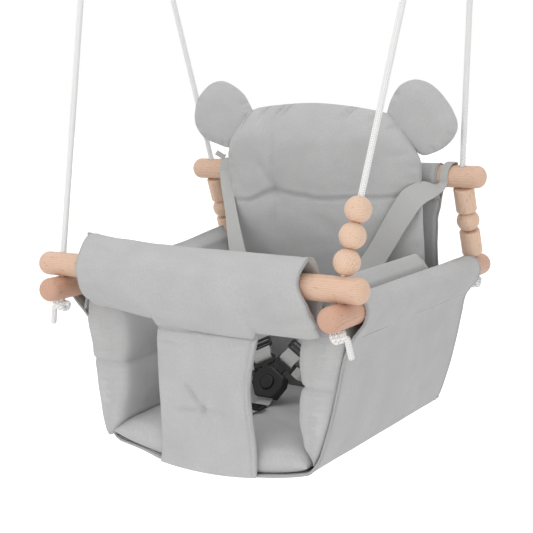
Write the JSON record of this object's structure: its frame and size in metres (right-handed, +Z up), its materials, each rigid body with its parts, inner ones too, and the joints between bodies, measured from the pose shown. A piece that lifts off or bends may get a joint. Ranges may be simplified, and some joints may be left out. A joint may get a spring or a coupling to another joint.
{
  "type": "baby swing seat",
  "caption": "Padded cloth bucket seat for a baby on a frame of round beech bars, hung by white ropes from steel rings, with a harness and wooden beads.",
  "frame": {"origin": "middle of the swing axis, halfway between the lowest wire of both hanging rings", "axes": "+Z up, -Y the way the child faces, +X to the right of someone who looks at the front"},
  "size_m": [0.5886, 0.466, 1.0499],
  "materials": {
    "beech": "fine sanded, thin matt oil",
    "rope": "braided white rope",
    "canvas": "plain-woven light grey canvas",
    "webbing": "light grey woven webbing",
    "black_plastic": "fine moulded matt",
    "ring_steel": "plain zinc-plated wire"
  },
  "bodies": {
    "hangers": {"ring_left": "ring_steel", "ring_right": "ring_steel"},
    "seat": {"front_bar": "beech", "back_bar": "beech", "arm_bar_left": "beech", "arm_bar_right": "beech", "rope_front_left": "rope", "rope_back_left": "rope", "rope_front_right": "rope", "rope_back_right": "rope", "rope_bight_left": "rope", "rope_bight_right": "rope", "top_knot_left": "rope", "top_knot_right": "rope", "knot_front_left": "rope", "knot_back_left": "rope", "knot_front_right": "rope", "knot_back_right": "rope", "sling_side_left": "canvas", "sling_side_right": "canvas", "sling_bottom": "canvas", "sling_back": "canvas", "front_guard": "canvas", "crotch_panel": "canvas", "back_cushion": "canvas", "seat_cushion": "canvas", "side_cushion_left": "canvas", "side_cushion_right": "canvas", "ear_left": "canvas", "ear_right": "canvas", "shoulder_strap_left": "webbing", "shoulder_strap_right": "webbing", "waist_strap_left": "webbing", "waist_strap_right": "webbing", "crotch_strap": "webbing", "strap_tape": "webbing", "buckle_housing": "black_plastic", "crotch_slider": "black_plastic"},
    "bead_lower": {"bead_lower": "beech"},
    "bead_middle": {"bead_middle": "beech"},
    "bead_upper": {"bead_upper": "beech"},
    "buckle_button": {"buckle_button": "black_plastic"},
    "spacer_lower_left": {"spacer_lower_left": "beech"},
    "spacer_ball_left": {"spacer_ball_left": "beech"},
    "spacer_upper_left": {"spacer_upper_left": "beech"},
    "latch_left": {"tongue_left": "black_plastic", "tongue_loop_left": "webbing", "triglide_left": "black_plastic"},
    "spacer_lower_right": {"spacer_lower_right": "beech"},
    "spacer_ball_right": {"spacer_ball_right": "beech"},
    "spacer_upper_right": {"spacer_upper_right": "beech"},
    "latch_right": {"tongue_right": "black_plastic", "tongue_loop_right": "webbing", "triglide_right": "black_plastic"}
  },
  "joints": [
    {"name": "swing", "type": "hinge", "parent": "hangers", "child": "seat", "pos_m": [0, 0, 0], "axis": [1, 0, 0], "range_deg": [-40, 40]},
    {"name": "bead_lower_slide", "type": "slide", "parent": "seat", "child": "bead_lower", "axis": [0.0973, 0.2693, 0.9581], "range_m": [0, 0.12]},
    {"name": "bead_middle_slide", "type": "slide", "parent": "bead_lower", "child": "bead_middle", "axis": [0.0973, 0.2693, 0.9581], "range_m": [0, 0.12]},
    {"name": "bead_upper_slide", "type": "slide", "parent": "bead_middle", "child": "bead_upper", "axis": [0.0973, 0.2693, 0.9581], "range_m": [0, 0.12]},
    {"name": "spacer_lower_left_spin", "type": "hinge", "parent": "seat", "child": "spacer_lower_left", "pos_m": [-0.2, 0.17581, -0.75848], "axis": [0, -0.3665, 0.9304], "continuous": true},
    {"name": "spacer_ball_left_spin", "type": "hinge", "parent": "seat", "child": "spacer_ball_left", "pos_m": [-0.2, 0.16383, -0.72807], "axis": [0, -0.3665, 0.9304], "continuous": true},
    {"name": "spacer_upper_left_spin", "type": "hinge", "parent": "seat", "child": "spacer_upper_left", "pos_m": [-0.2, 0.15185, -0.69766], "axis": [0, -0.3665, 0.9304], "continuous": true},
    {"name": "spacer_lower_right_spin", "type": "hinge", "parent": "seat", "child": "spacer_lower_right", "pos_m": [0.2, 0.17581, -0.75848], "axis": [0, -0.3665, 0.9304], "continuous": true},
    {"name": "spacer_ball_right_spin", "type": "hinge", "parent": "seat", "child": "spacer_ball_right", "pos_m": [0.2, 0.16383, -0.72807], "axis": [0, -0.3665, 0.9304], "continuous": true},
    {"name": "spacer_upper_right_spin", "type": "hinge", "parent": "seat", "child": "spacer_upper_right", "pos_m": [0.2, 0.15185, -0.69766], "axis": [0, -0.3665, 0.9304], "continuous": true},
    {"name": "button_press", "type": "slide", "parent": "seat", "child": "buckle_button", "axis": [0, 0.8643, -0.503], "range_m": [0, 0.0015], "stiffness_N_per_m": 600, "springref_m": -0.001},
    {"name": "latch_left_slide", "type": "slide", "parent": "seat", "child": "latch_left", "axis": [-0.4931, 0.4376, 0.7519], "range_m": [0, 0.018]},
    {"name": "latch_right_slide", "type": "slide", "parent": "seat", "child": "latch_right", "axis": [0.4931, 0.4376, 0.7519], "range_m": [0, 0.018]}
  ]
}
